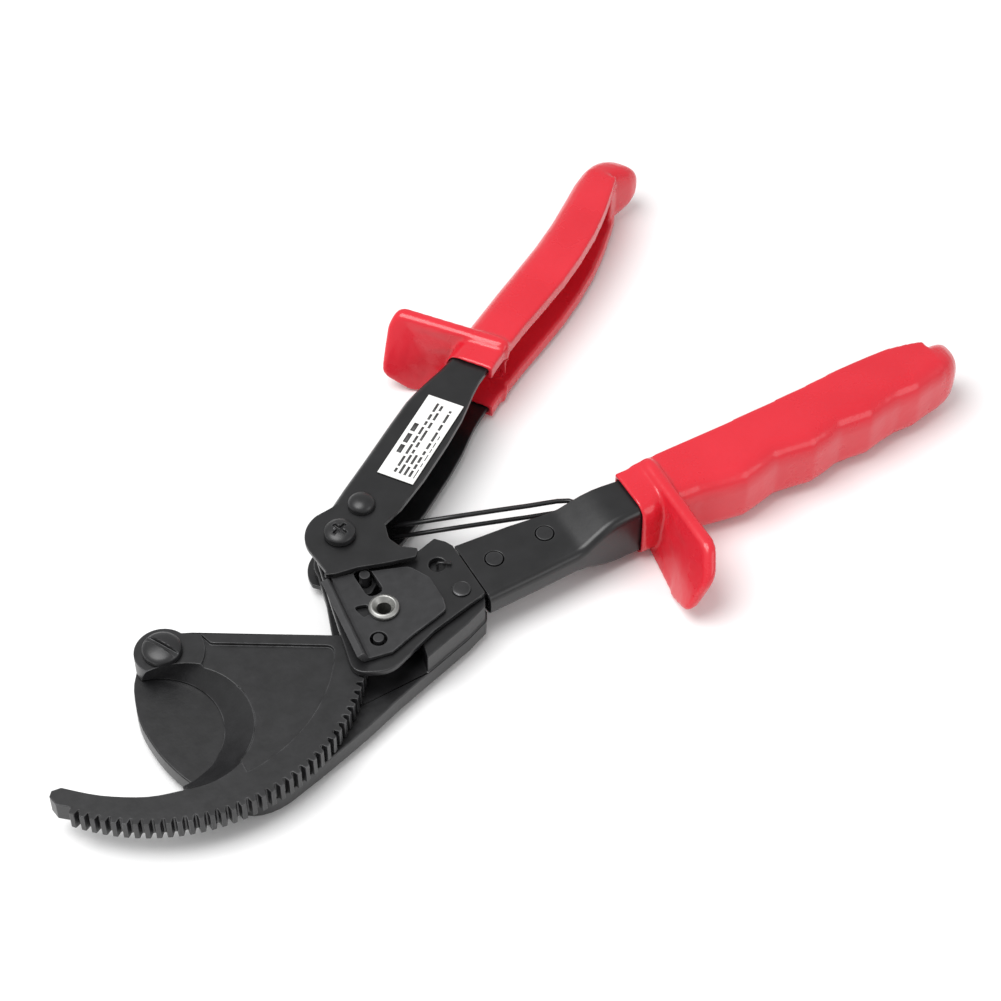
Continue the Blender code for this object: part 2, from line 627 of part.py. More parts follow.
def guard(name, frame, side, s0, outer, start_n, lean, tip, square):
    """Finger guard: a swept-forward fin with a rim that also crosses the grip's two faces."""
    half = GRIP_H / 2 + GUARD_RISE
    shape = [(start_n, -half), (start_n, half), (outer + side * tip * square, half),
             (outer + side * tip, half * (square - 0.3)), (outer + side * tip * 0.96, -half * 0.45),
             (outer + side * tip * 0.55, -half)]
    ring = rounded(shape, [3.0, 3.0, 5.5, 5.5, 5.5, 6.0], 4)
    rings = []
    for offset, shrink in ((-0.25, 0.8), (-0.15, 0.5), (-0.08, 0.25), (0.0, 0.056), (1.2, 0.0), (3.0, 0.0),
                           (4.2, 0.056), (4.28, 0.25), (4.35, 0.5), (4.45, 0.8)):
        centre_n = sum(p[0] for p in ring) / len(ring)
        points = []
        for n, z in ring:
            nn = n + (centre_n - n) * shrink
            zz = z * (1 - shrink)
            out = max(0.0, side * (nn - outer)) / tip
            forward = lean * out ** 1.3 * (0.55 - 0.45 * zz / half) + 1.2 * (half - zz) / half
            points.append((*frame(s0 + offset - forward, nn), MID + zz))
        rings.append(points)
    return loft(name, rings)


def grip_profile(inner, outer, side, half, round_off, lip):
    """Section of a grip: U wall with a rounded back, its lips wrapped over the sheet edges."""
    return u_ring(inner - side * lip, outer + side * (GRIP_SKIN + GAP), MID - half, MID + half,
                  GRIP_SKIN + GRIP_LINING + FLANGE_T + 2 * GAP, round_off, side, 5)


# nose of a grip: share of its length (mm if negative), height, back taken in, inner hook
GRIP_NOSE = ((-4.0, 1.0, 0.0, 0.0), (0.0, 1.0, 0.0, 0.0), (0.28, 0.93, 0.03, 0.5), (0.52, 0.83, 0.11, 0.9),
             (0.74, 0.68, 0.25, 1.0), (0.89, 0.49, 0.42, 0.85), (0.98, 0.27, 0.60, 0.55),
             (1.0, 0.13, 0.70, 0.35))


def make_grip(name, frame, side, stations, start, end, guard_at, hook):
    """Dipped grip: solid end cap, U body, and a pocket that holds the handle sheet."""
    rings = []
    first_inner, first_outer = stations[0][1], stations[0][2]
    half = GRIP_H / 2
    for s, inner, outer in [(start + 0.8, first_inner, first_outer)] + stations:
        rings.append([(*frame(s, n), z) for n, z in
                      grip_profile(inner, outer, side, half, GRIP_ROUND, GRIP_LIP)])
    made = loft(name, rings, PARTS, RED)
    last_s, last_inner, last_outer = stations[-1]
    lip, back = last_inner - side * GRIP_LIP, last_outer + side * (GRIP_SKIN + GAP)
    cap = []
    for share, tall, shed, curl in GRIP_NOSE:
        s = last_s + (share if share < 0 else share * (end - last_s))
        far = back + (lip - back) * shed
        near = lip - side * hook * curl
        ring = []
        for k in range(28):
            a = 2 * PI * k / 28
            n = (far + near) / 2 + (far - near) / 2 * math.copysign(abs(math.cos(a)) ** 0.7, math.cos(a))
            z = MID + half * tall * 0.999 * math.copysign(abs(math.sin(a)) ** 0.7, math.sin(a))
            ring.append((*frame(s, n), z))
        cap.append(ring)
    join(made, loft("cap", cap))
    join(made, guard_at())
    wall = GRIP_SKIN + GRIP_LINING + FLANGE_T + 2 * GAP - SINK
    channel = []
    for s, inner, outer in [(start - 4, *stations[0][1:])] + [st for st in stations if st[0] < start + 20]:
        floor = outer + side * (GRIP_SKIN + GAP - wall)
        channel.append([(*frame(s, n), z) for n, z in (
            (inner - side * 9, MID - half + wall), (floor, MID - half + wall), (floor, MID + half - wall),
            (inner - side * 9, MID + half - wall))])
    return cut(made, loft("channel", channel, CUTTERS))


def carve_pocket(grip, rings):
    """Room for the handle sheet, open at the collar."""
    return cut(grip, loft("pocket", rings, CUTTERS))


def pocket_rings(stations, frame, side, start, lead):
    """The sheet's own stations under the grip, grown by the clearance and run out past the collar."""
    inside = [st for st in stations if st[0] >= start]
    s, inner, outer, half = inside[0]
    run_out = [(s - lead, inner, outer, half)]
    last = inside[-1]
    tail = [(last[0] + 0.5, last[1], last[2], last[3])]
    return section_rings(run_out + inside + tail, frame, side, FLANGE_T, 2.6, GAP)


def make_fixed_grip():
    stations = [(s, inner + 1.2, outer + 1.2 - FINGER_BUMP * bump) for s, inner, outer, bump in FIXED_GRIP]
    stations = [(FIXED_GRIP_START + 5, -12.2, -26.6)] + stations

    def fin():
        return guard("guard", fixed_frame, -1, FIXED_GRIP_START + 9.5, -27.4, -10.0, 12.0, 29.0,
                     0.76)
    grip = make_grip("fixed_handle_grip", fixed_frame, -1, stations, FIXED_GRIP_START,
                     FIXED_GRIP_END, fin, 0.8)
    carve_pocket(grip, pocket_rings(fixed_stations(), fixed_frame, -1, FIXED_GRIP_START, 6.0))
    return grip


def make_moving_grip():
    stations = [(MOVING_GRIP_START + 5, -11.8, 1.3)] + list(MOVING_GRIP)

    def fin():
        return guard("guard", moving_frame, 1, MOVING_GRIP_START + 9.5, 2.4, -14.2, 14.0, 23.0,
                     0.93)
    grip = make_grip("moving_handle_grip", moving_frame, 1, stations, MOVING_GRIP_START,
                     MOVING_GRIP_END, fin, 3.4)
    carve_pocket(grip, pocket_rings(moving_stations(), moving_frame, 1, MOVING_GRIP_START, 6.0))
    return grip


# ---------------------------------------------------------------- pawls, lever, springs, label
PAWL_LO = BLADE_LO + 0.2
PAWL_HI = BLADE_HI - 0.3


def make_drive_pawl():
    """Long pawl from the domed rivet, past the hinge, to the teeth."""
    x, y = PAWL_PIN
    outline = rounded([(x - 2.7, y + 2.9), (x + 2.7, y + 2.5), (x + 3.3, y - 3.7), (71.0, 2.0), (66.0, -6.6), (61.8, -10.0),
                       polar(TOOTH_TIP_R + 0.6, -9.2), polar(TOOTH_TIP_R + 0.7, -5.2), (62.8, -2.6),
                       (67.0, 4.0), (x - 2.9, y - 5.3)], [2.6, 2.6, 3, 5, 3, 1.0, 0.3, 0.5, 2, 4, 3], 3)
    pawl = flat("drive_pawl", outline, PAWL_LO, PAWL_HI)
    drill(pawl, PAWL_PIN, 2.4 + GAP)
    drill(pawl, SLOT_PIN, 1.6 + GAP)
    cylinder("drive_pawl_pin", SLOT_PIN, 1.6, PAWL_LO + 0.4, LEVER_HI - 0.1,
             skin=SILVER, sides=20)


def make_pawl_rivet():
    base = LOBE_HI + SEAT
    rivet = dome("pawl_rivet", PAWL_PIN, 4.1, base, 0.9, 2.0)
    join(rivet, cylinder("shank", PAWL_PIN, 2.4, REAR_LOBE_LO - SEAT - 0.5, base + 0.3))
    cap = turned("tail", PAWL_PIN, [(3.6, 0), (3.6, 0.7), (2.9, 1.0)], REAR_LOBE_LO - SEAT - 1.0)
    join(rivet, cap)


def make_holding_pawl():
    """Rocker on the eyelet: its nose stands just clear of the teeth and its tail is pinned to the lever."""
    e = LEVER_PIN
    outline = rounded([(e.x - 1.6, e.y + 4.8), polar(TOOTH_TIP_R + 0.5, -16.0),
                       polar(TOOTH_TIP_R + 0.5, -18.4), (57.4, -20.6), (54.9, -25.4), (53.9, -26.3),
                       (53.2, -29.6), (55.8, -31.0), (60.0, -27.0), (65.4, -22.0), (65.0, -17.0)],
                      [1.5, 0.3, 0.8, 2, 2, 1, 1.6, 2, 4, 3, 3], 3)
    pawl = flat("holding_pawl", outline, PAWL_LO, PAWL_HI)
    drill(pawl, e, 2.6 + GAP)
    drill(pawl, TIE_PIN, 1.6 + GAP, PAWL_LO + 2)
    cylinder("holding_pawl_pin", TIE_PIN, 1.6, PAWL_LO + 2.4, LEVER_HI + 0.5, skin=SILVER, sides=20)
    return pawl


THUMB_EDGE = ((53.0, -1.8), (49.6, -33.4))  # front edge of the lever, bent up for the thumb
THUMB_RISE = 3.0


def make_lever():
    outline = rounded([THUMB_EDGE[0], (61.6, -4.6), (74.6, -9.2), (78.0, -15.6), (77.8, -24.4), (76.8, -28.2),
                       (72.4, -29.6), (64.6, -31.6), (56.2, -34.4), THUMB_EDGE[1]],
                      [0.5, 1, 3, 3, 3, 2, 2, 3, 2, 0.5], 4)
    lever = flat("release_lever", outline, LEVER_LO, LEVER_HI)
    top, foot = Vector(THUMB_EDGE[0]), Vector(THUMB_EDGE[1])
    edge = (foot - top).normalized()
    out = Vector((edge.y, -edge.x))
    bend = [(-0.5, 0.0), (-0.5, LEVER_T), (0.5, LEVER_T + 0.4), (1.5, LEVER_T + THUMB_RISE - 0.3),
            (2.1, LEVER_T + THUMB_RISE), (3.9, LEVER_T + THUMB_RISE - 0.7), (2.5, 0.9), (1.6, 0.0)]
    rings = []
    for along in (2.4, (foot - top).length):
        spot = top + edge * along
        rings.append([(spot.x + out.x * d, spot.y + out.y * d, LEVER_LO + z) for d, z in bend])
    join(lever, loft("thumb_edge", rings))
    slot = rounded([(59.0, -3.0), (64.2, -3.0), (64.2, -14.0), (59.0, -14.0)], 2.4, 4)
    cut(lever, flat("slot", slot, 0, 40, CUTTERS))
    drill(lever, LEVER_PIN, 2.6 + GAP)
    drill(lever, TIE_PIN, 2.5)
    notch = rounded([(53.6, -14.8), (57.4, -15.8), (57.6, -19.2), (54.6, -19.6)], 0.8, 2)
    cut(lever, flat("notch", notch, 0, 40, CUTTERS))
    return lever


def coil(centre, radius, turns, lo, hi, start, points_per_turn=12):
    count = int(turns * points_per_turn)
    return [(centre[0] + radius * math.cos(start + 2 * PI * k / points_per_turn),
             centre[1] + radius * math.sin(start + 2 * PI * k / points_per_turn),
             lo + (hi - lo) * k / count) for k in range(count + 1)]


def make_return_spring():
    """Double-leg wire spring: one loop round the anchor pin and two legs to the moving handle."""
    ax, ay = SPRING_ANCHOR
    hi = MID + 2.4
    lo = MID - 2.4
    start, end = local(*SPRING_TOE), SPRING_ANCHOR + Vector((-4.5, 9.4))
    legs = []
    for level, drop in ((hi, 0.0), (lo, -0.4)):
        spots = [start.lerp(end, share) + ACROSS * bow for share, bow in (
            (0, 0), (0.25, 0.3), (0.5, 0.5), (0.78, 0.5), (1, 0))]
        legs.append([(spot.x, spot.y + drop, level) for spot in spots])
    upper, lower = legs[0], legs[1][::-1]
    loop_start = math.radians(115)
    loop = coil((ax, ay), 3.2, 2.0, hi, lo, loop_start)
    path = smooth_line(upper + [loop[0]], 3) + loop[1:-1] + smooth_line([loop[-1]] + lower, 3)
    return wire("return_spring", path, WIRE_R)


def make_small_springs():
    ax, ay = PAWL_PIN
    low = PAWL_LO - 0.8
    legs = coil((ax, ay), 3.6, 1.5, low - 1.6, low, math.radians(80))
    first = [(*local(16.0, 5.0), low - 1.6)]
    wire("drive_pawl_spring", first + legs + [(ax - 1.5, ay - 9.0, low)], 0.45)
    hx, hy = SPRING_HOLE
    tail = [(hx + 3.6, hy - 2.2, PLATE_HI + 0.75), (hx + 0.4, hy - 0.2, PLATE_HI + 0.75),
            (hx, hy, PLATE_HI + 0.2), (hx, hy, PLATE_LO + 0.3)]
    wire("holding_pawl_spring", tail, 0.45)


def make_label():
    lo = MID + MOVING_NECK_HALF + GAP
    corners = [local(26.0, -11.0), local(60.4, -11.4), local(60.4, 0.4), local(26.0, 0.8)]
    flat("rating_label", [tuple(c) for c in corners], lo, lo + 0.3, skin=PAPER)


def make_anchor():
    cylinder("spring_anchor_pin", SPRING_ANCHOR, 1.6, MID - WIDE_HALF + 0.6,
             MID + WIDE_HALF - FLANGE_T - GAP - 0.5, sides=16)


make_fixed_blade()
make_moving_blade()
make_pivot()
make_front_plate()
make_rivets()
make_eyelet()
make_hinge()
make_moving_handle()
make_fixed_handle()
make_fixed_grip()
make_moving_grip()
make_drive_pawl()
make_pawl_rivet()
make_holding_pawl()
make_lever()
make_return_spring()
make_small_springs()
make_label()
make_anchor()
for turning, names in {(0.0, 0.0): ["moving_blade"],
                       tuple(HINGE): ["moving_handle", "moving_handle_grip", "rating_label", "pawl_rivet",
                                      "drive_pawl_spring"],
                       tuple(PAWL_PIN): ["drive_pawl", "drive_pawl_pin"],
                       tuple(LEVER_PIN): ["release_lever", "holding_pawl", "holding_pawl_pin"],
                       tuple(SPRING_ANCHOR): ["return_spring"]}.items():
    for name in names:
        put_origin(bpy.data.objects[name], turning)
for made in PARTS.objects:
    shade(made)
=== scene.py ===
"""Looks for a ratcheting cable cutter: lacquered steel, bright pins, dipped grips and a printed label.

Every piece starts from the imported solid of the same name, gets its worked edges and its finish, and rides
on the body that the solid belongs to. Lengths are in metres.
"""

import json
import math
import random

import bmesh
import bpy
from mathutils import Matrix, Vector


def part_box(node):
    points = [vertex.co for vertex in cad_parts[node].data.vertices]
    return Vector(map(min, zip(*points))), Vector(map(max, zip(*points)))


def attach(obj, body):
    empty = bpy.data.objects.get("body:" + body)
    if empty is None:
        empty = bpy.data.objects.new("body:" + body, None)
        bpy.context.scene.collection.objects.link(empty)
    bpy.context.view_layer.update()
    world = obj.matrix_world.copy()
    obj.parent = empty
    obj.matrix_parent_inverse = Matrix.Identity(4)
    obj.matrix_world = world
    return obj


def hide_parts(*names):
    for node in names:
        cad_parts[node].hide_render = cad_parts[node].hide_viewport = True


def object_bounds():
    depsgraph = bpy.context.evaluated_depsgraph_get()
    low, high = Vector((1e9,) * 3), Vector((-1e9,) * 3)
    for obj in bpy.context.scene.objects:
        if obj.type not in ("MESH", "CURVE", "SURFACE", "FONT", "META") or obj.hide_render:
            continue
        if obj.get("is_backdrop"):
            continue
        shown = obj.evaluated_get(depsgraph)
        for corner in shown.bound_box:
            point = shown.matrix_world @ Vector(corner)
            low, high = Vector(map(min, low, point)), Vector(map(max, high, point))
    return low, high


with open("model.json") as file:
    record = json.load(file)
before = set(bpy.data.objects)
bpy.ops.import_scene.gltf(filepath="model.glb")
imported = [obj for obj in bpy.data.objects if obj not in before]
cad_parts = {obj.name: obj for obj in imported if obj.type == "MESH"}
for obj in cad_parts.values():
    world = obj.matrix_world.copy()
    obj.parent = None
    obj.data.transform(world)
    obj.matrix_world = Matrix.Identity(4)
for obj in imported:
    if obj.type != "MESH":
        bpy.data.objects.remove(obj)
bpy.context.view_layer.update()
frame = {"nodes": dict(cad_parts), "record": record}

bl_info = {
    "name": "Ratcheting cable cutter finish",
    "version": (1, 0, 0),
    "blender": (4, 5, 0),
    "location": "View3D > Sidebar > Cutter",
    "description": "Edges, lacquer, dipped grips and stage of a ratcheting cable cutter",
    "category": "Object",
}

MM = 0.001
HANDLE_SPREAD = math.radians(36.2)      # moving handle from the fixed handle, open
HINGE = Vector((0.0616, 0.0092, 0.0))
CAMERA_TARGET = Vector((0.1131, 0.0054, 0.0117))

EDGE_ANGLE = 34                         # degrees between faces from which an edge is rounded
WELD = 0.000002                         # corners nearer than this are one
FLAT_ANGLE = 0.15                       # degrees within which faces count as one flat face
LABEL_EDGE = 0.00006                    # rounding of the label's cut edge
FLOOR_GAP = 0.00005                     # floor below the part's lowest point

# printed rows: across the handle, height (mm), then start and end as shares of the printed length
PRINT_ROWS = ((-1.5, 1.5, 0.26, 0.66), (-3.9, 0.8, 0.03, 0.97), (-5.5, 0.8, 0.03, 0.97),
              (-7.1, 0.8, 0.03, 0.30), (-8.7, 0.8, 0.03, 0.93), (-10.1, 0.3, 0.03, 0.60))
PRINT_START, PRINT_LENGTH = 27.2, 32.0  # mm along the handle from the hinge
PRINT_LIFT, PRINT_THICKNESS = 0.01, 0.02
PRINT_SEED = 5

# lamps: name, right of the part, away from the camera, up, size (m), share of the key's power
LAMPS = (("key", -0.30, -0.12, 0.85, 0.7, 1.0), ("fill", 0.9, -0.5, 0.5, 0.6, 0.22))


# ---------------------------------------------------------------- sizes and colours
class CutterFinish(bpy.types.PropertyGroup):
    """Colours and gloss of the finishes"""
    lacquer: bpy.props.FloatVectorProperty(
        name="Lacquer", description="Colour of the black lacquer", subtype="COLOR", size=3,
        min=0, max=1, default=(0.0085, 0.0085, 0.0092))
    lacquer_gloss: bpy.props.FloatProperty(
        name="Lacquer roughness", description="Roughness of the black lacquer", subtype="FACTOR",
        min=0, max=1, default=0.36)
    # bare steel laid on convex edges: partly lacquer rubbed off, partly a painted edge highlight
    bare_steel_and_highlight: bpy.props.FloatVectorProperty(
        name="Bare steel", description="Steel that shows where lacquer is rubbed off", subtype="COLOR",
        size=3, min=0, max=1, default=(0.16, 0.16, 0.165))
    zinc: bpy.props.FloatVectorProperty(
        name="Zinc", description="Plating of the eyelet and the pins", subtype="COLOR", size=3,
        min=0, max=1, default=(0.40, 0.40, 0.385))
    vinyl: bpy.props.FloatVectorProperty(
        name="Vinyl", description="Colour of the dipped grips", subtype="COLOR", size=3,
        min=0, max=1, default=(0.68, 0.020, 0.036))
    vinyl_gloss: bpy.props.FloatProperty(
        name="Vinyl roughness", description="Roughness of the dipped grips", subtype="FACTOR",
        min=0, max=1, default=0.27)
    paper: bpy.props.FloatVectorProperty(
        name="Label", description="Colour of the label stock", subtype="COLOR", size=3,
        min=0, max=1, default=(0.86, 0.86, 0.84))


class CutterEdges(bpy.types.PropertyGroup):
    """Widths of the worked edges"""
    forged: bpy.props.FloatProperty(
        name="Forged edge", description="Rounding on forged edges", subtype="DISTANCE", unit="LENGTH",
        min=0, max=0.002, default=0.00045)
    stamped: bpy.props.FloatProperty(
        name="Stamped edge", description="Rounding on sheet edges", subtype="DISTANCE", unit="LENGTH",
        min=0, max=0.001, default=0.00025)
    tooth: bpy.props.FloatProperty(
        name="Tooth edge", description="Rounding on the moving blade and its teeth", subtype="DISTANCE",
        unit="LENGTH", min=0, max=0.001, default=0.00016)
    turned: bpy.props.FloatProperty(
        name="Turned edge", description="Rounding on screws, rivets and pins", subtype="DISTANCE",
        unit="LENGTH", min=0, max=0.001, default=0.00018)
    dip_cell: bpy.props.FloatProperty(
        name="Dip cell", description="Mesh size of the dipped coat", subtype="DISTANCE", unit="LENGTH",
        min=0.0003, max=0.002, default=0.00055)
    dip_rounds: bpy.props.IntProperty(
        name="Dip smoothing", description="Rounds of smoothing that soften the dipped coat", min=0, max=40,
        default=9)


class CutterStage(bpy.types.PropertyGroup):
    """Floor, light and camera"""
    floor: bpy.props.FloatVectorProperty(
        name="Floor", description="Colour of the floor", subtype="COLOR", size=3, min=0, max=1,
        default=(0.94, 0.94, 0.94))
    key_power: bpy.props.FloatProperty(
        name="Key light", description="Power of the overhead soft light", unit="POWER", min=0,
        default=7.5)
    sky: bpy.props.FloatProperty(
        name="Surround", description="Strength of the white surround", min=0, default=0.60)
    azimuth: bpy.props.FloatProperty(
        name="Camera azimuth", description="Camera's turn round the part", subtype="ANGLE",
        unit="ROTATION", default=math.radians(-28.97))
    elevation: bpy.props.FloatProperty(
        name="Camera elevation", description="Camera's height above the horizon", subtype="ANGLE",
        unit="ROTATION", default=math.radians(50.0))
    distance: bpy.props.FloatProperty(
        name="Camera distance", description="Camera to the point it looks at", subtype="DISTANCE",
        unit="LENGTH", min=0.1, default=0.8)
    view_width: bpy.props.FloatProperty(
        name="View width", description="Width seen at the point the camera looks at", subtype="DISTANCE",
        unit="LENGTH", min=0.05, default=0.3006)


def finish():
    return bpy.context.scene.cutter_finish


def edges():
    return bpy.context.scene.cutter_edges


def stage_sizes():
    return bpy.context.scene.cutter_stage


# ---------------------------------------------------------------- shader node groups
def node(tree, kind, **values):
    """New node; every value given is a setting of the node."""
    made = tree.nodes.new(kind)
    for name, value in values.items():
        setattr(made, name, value)
    return made


def new_group(name, inputs, outputs):
    """Node group with float sockets. Returns it with its input and output nodes."""
    group = bpy.data.node_groups.new(name, "ShaderNodeTree")
    for label, value in inputs.items():
        socket = group.interface.new_socket(label, in_out="INPUT", socket_type="NodeSocketFloat")
        socket.default_value = value
    for label in outputs:
        group.interface.new_socket(label, in_out="OUTPUT", socket_type="NodeSocketFloat")
    return group, node(group, "NodeGroupInput"), node(group, "NodeGroupOutput")


def sum_of(tree, *parts):
    """Math nodes that add (value socket, weight) pairs."""
    total = None
    for socket, weight in parts:
        scaled = node(tree, "ShaderNodeMath", operation="MULTIPLY")
        tree.links.new(socket, scaled.inputs[0])
        scaled.inputs[1].default_value = weight
        if total is None:
            total = scaled.outputs[0]
            continue
        added = node(tree, "ShaderNodeMath", operation="ADD")
        tree.links.new(total, added.inputs[0])
        tree.links.new(scaled.outputs[0], added.inputs[1])
        total = added.outputs[0]
    return total


def product_of(tree, first, second):
    made = node(tree, "ShaderNodeMath", operation="MULTIPLY")
    tree.links.new(first, made.inputs[0])
    tree.links.new(second, made.inputs[1])
    return made.outputs[0]


def noise(tree, coordinates, scale, detail=2.0, roughness=0.5):
    made = node(tree, "ShaderNodeTexNoise")
    tree.links.new(coordinates, made.inputs["Vector"])
    made.inputs["Scale"].default_value = scale
    made.inputs["Detail"].default_value = detail
    made.inputs["Roughness"].default_value = roughness
    return made.outputs["Fac"]


def remap(tree, value, low, high, to_low=0.0, to_high=1.0):
    made = node(tree, "ShaderNodeMapRange")
    tree.links.new(value, made.inputs["Value"])
    made.inputs["From Min"].default_value = low
    made.inputs["From Max"].default_value = high
    made.inputs["To Min"].default_value = to_low
    made.inputs["To Max"].default_value = to_high
    return made.outputs["Result"]


def build_edge_rub_and_highlight():
    """Mask of convex edges, broken up by noise: coat rubbed off by handling together with a painted edge
    highlight.
    """
    group, given, out = new_group("edge_rub_and_highlight", {"Width": 0.0006, "Amount": 1.0, "Patch Scale": 260.0},
                                  ["Mask"])
    rounded_normal = node(group, "ShaderNodeBevel", samples=4)
    group.links.new(given.outputs["Width"], rounded_normal.inputs["Radius"])
    flat_side = node(group, "ShaderNodeNewGeometry")
    facing = node(group, "ShaderNodeVectorMath", operation="DOT_PRODUCT")
    group.links.new(rounded_normal.outputs["Normal"], facing.inputs[0])
    group.links.new(flat_side.outputs["Normal"], facing.inputs[1])
    edge = remap(group, facing.outputs["Value"], 0.995, 0.86)
    place = node(group, "ShaderNodeTexCoord")
    patchy = node(group, "ShaderNodeTexNoise")
    group.links.new(place.outputs["Object"], patchy.inputs["Vector"])
    group.links.new(given.outputs["Patch Scale"], patchy.inputs["Scale"])
    patchy.inputs["Detail"].default_value = 3.0
    rub_and_highlight_patches = remap(group, patchy.outputs["Fac"], 0.36, 0.66)
    # the painted edge highlight and the rubbed coat share this mask
    mask = product_of(group, product_of(group, edge, rub_and_highlight_patches), given.outputs["Amount"])
    group.links.new(mask, out.inputs["Mask"])
    return group


def build_cast_grain():
    """Orange peel and fine pitting of a forged and lacquered face."""
    group, given, out = new_group("cast_grain", {"Grain Scale": 900.0, "Swell Scale": 160.0},
                                  ["Height", "Tone"])
    place = node(group, "ShaderNodeTexCoord")
    fine = node(group, "ShaderNodeTexNoise")
    swell = node(group, "ShaderNodeTexNoise")
    for texture, label, detail in ((fine, "Grain Scale", 3.0), (swell, "Swell Scale", 2.0)):
        group.links.new(place.outputs["Object"], texture.inputs["Vector"])
        group.links.new(given.outputs[label], texture.inputs["Scale"])
        texture.inputs["Detail"].default_value = detail
    group.links.new(sum_of(group, (fine.outputs["Fac"], 0.45), (swell.outputs["Fac"], 0.55)),
                    out.inputs["Height"])
    group.links.new(remap(group, swell.outputs["Fac"], 0.3, 0.7), out.inputs["Tone"])
    return group


def build_hairlines():
    """Fine rub marks, long along X and short across it, for gloss that isn't even."""
    group, given, out = new_group("hairlines", {"Density": 700.0, "Stretch": 0.06}, ["Marks"])
    place = node(group, "ShaderNodeTexCoord")
    axes = node(group, "ShaderNodeSeparateXYZ")
    group.links.new(place.outputs["Object"], axes.inputs[0])
    drawn = node(group, "ShaderNodeCombineXYZ")
    group.links.new(product_of(group, axes.outputs["X"], given.outputs["Stretch"]), drawn.inputs["X"])
    group.links.new(axes.outputs["Y"], drawn.inputs["Y"])
    group.links.new(axes.outputs["Z"], drawn.inputs["Z"])
    lines = node(group, "ShaderNodeTexNoise")
    group.links.new(drawn.outputs[0], lines.inputs["Vector"])
    group.links.new(given.outputs["Density"], lines.inputs["Scale"])
    lines.inputs["Detail"].default_value = 2.0
    group.links.new(remap(group, lines.outputs["Fac"], 0.56, 0.72), out.inputs["Marks"])
    return group


def build_dip_flow():
    """Slow waves and small pimples of a dipped coat."""
    group, given, out = new_group("dip_flow", {"Wave Scale": 55.0, "Peel Scale": 420.0},
                                  ["Height", "Tone"])
    place = node(group, "ShaderNodeTexCoord")
    wave = node(group, "ShaderNodeTexNoise")
    peel = node(group, "ShaderNodeTexNoise")
    for texture, label in ((wave, "Wave Scale"), (peel, "Peel Scale")):
        group.links.new(place.outputs["Object"], texture.inputs["Vector"])
        group.links.new(given.outputs[label], texture.inputs["Scale"])
        texture.inputs["Detail"].default_value = 1.5
    group.links.new(sum_of(group, (wave.outputs["Fac"], 0.8), (peel.outputs["Fac"], 0.2)),
                    out.inputs["Height"])
    group.links.new(remap(group, wave.outputs["Fac"], 0.3, 0.7), out.inputs["Tone"])
    return group


GROUP_BUILDERS = {"edge_rub_and_highlight": build_edge_rub_and_highlight, "cast_grain": build_cast_grain,
                  "hairlines": build_hairlines, "dip_flow": build_dip_flow}


def place_group(tree, name, **values):
    """The named group as a node in a material, with its own values."""
    made = node(tree, "ShaderNodeGroup", node_tree=bpy.data.node_groups.get(name) or GROUP_BUILDERS[name]())
    for label, value in values.items():
        made.inputs[label.replace("_", " ")].default_value = value
    return made


# ---------------------------------------------------------------- materials
def new_material(name, metallic=0.0, coat=0.0, coat_roughness=0.1, specular=0.5):
    made = bpy.data.materials.new(name + "_finish")
    made.use_nodes = True
    shader = made.node_tree.nodes["Principled BSDF"]
    shader.inputs["Metallic"].default_value = metallic
    shader.inputs["Coat Weight"].default_value = coat
    shader.inputs["Coat Roughness"].default_value = coat_roughness
    shader.inputs["Specular IOR Level"].default_value = specular
    return made, made.node_tree, shader


def blend_colours(tree, mask, low, high):
    made = node(tree, "ShaderNodeMix", data_type="RGBA")
    tree.links.new(mask, made.inputs["Factor"])
    made.inputs[6].default_value = (*low, 1)
    made.inputs[7].default_value = (*high, 1)
    return made


def lay_over(tree, mask, below, colour):
    """A colour laid over what a colour socket gives."""
    made = node(tree, "ShaderNodeMix", data_type="RGBA")
    tree.links.new(mask, made.inputs["Factor"])
    tree.links.new(below, made.inputs[6])
    made.inputs[7].default_value = (*colour, 1)
    return made


def bump(tree, shader, height, distance, strength=1.0):
    made = node(tree, "ShaderNodeBump")
    made.inputs["Distance"].default_value = distance
    made.inputs["Strength"].default_value = strength
    tree.links.new(height, made.inputs["Height"])
    tree.links.new(made.outputs["Normal"], shader.inputs["Normal"])


def lacquer(name, rub_and_highlight_amount, grain, swell, depth, gloss=0.0, lift=1.0):
    """Black lacquer over steel, with lighter metallic bare steel on convex edges that is partly wear and
    partly a painted edge highlight. lift scales its colour and gloss is added to its roughness.
    """
    look = finish()
    made, tree, shader = new_material(name, specular=0.5)
    peel = place_group(tree, "cast_grain", Grain_Scale=grain, Swell_Scale=swell)
    edge = place_group(tree, "edge_rub_and_highlight", Width=0.0006, Amount=rub_and_highlight_amount, Patch_Scale=240.0)
    marks = place_group(tree, "hairlines")
    dark = [c * lift * 0.82 for c in look.lacquer]
    light = [c * lift * 1.25 for c in look.lacquer]
    coat = blend_colours(tree, peel.outputs["Tone"], dark, light)
    # painted highlight: lighter bare steel on every convex edge, partly wear, partly standing in for edge
    # highlights
    shown = lay_over(tree, edge.outputs["Mask"], coat.outputs[2], look.bare_steel_and_highlight)
    tree.links.new(shown.outputs[2], shader.inputs["Base Color"])
    rough = sum_of(tree, (peel.outputs["Height"], 0.16), (marks.outputs["Marks"], 0.02))
    base = look.lacquer_gloss + gloss - 0.09
    tree.links.new(remap(tree, rough, 0.0, 1.0, base, base + 1.0), shader.inputs["Roughness"])
    # painted reflection: convex edges turn metallic, as part of the painted edge highlight
    tree.links.new(remap(tree, edge.outputs["Mask"], 0.0, 1.0, 0.0, 0.85), shader.inputs["Metallic"])
    bump(tree, shader, peel.outputs["Height"], depth)
    return made


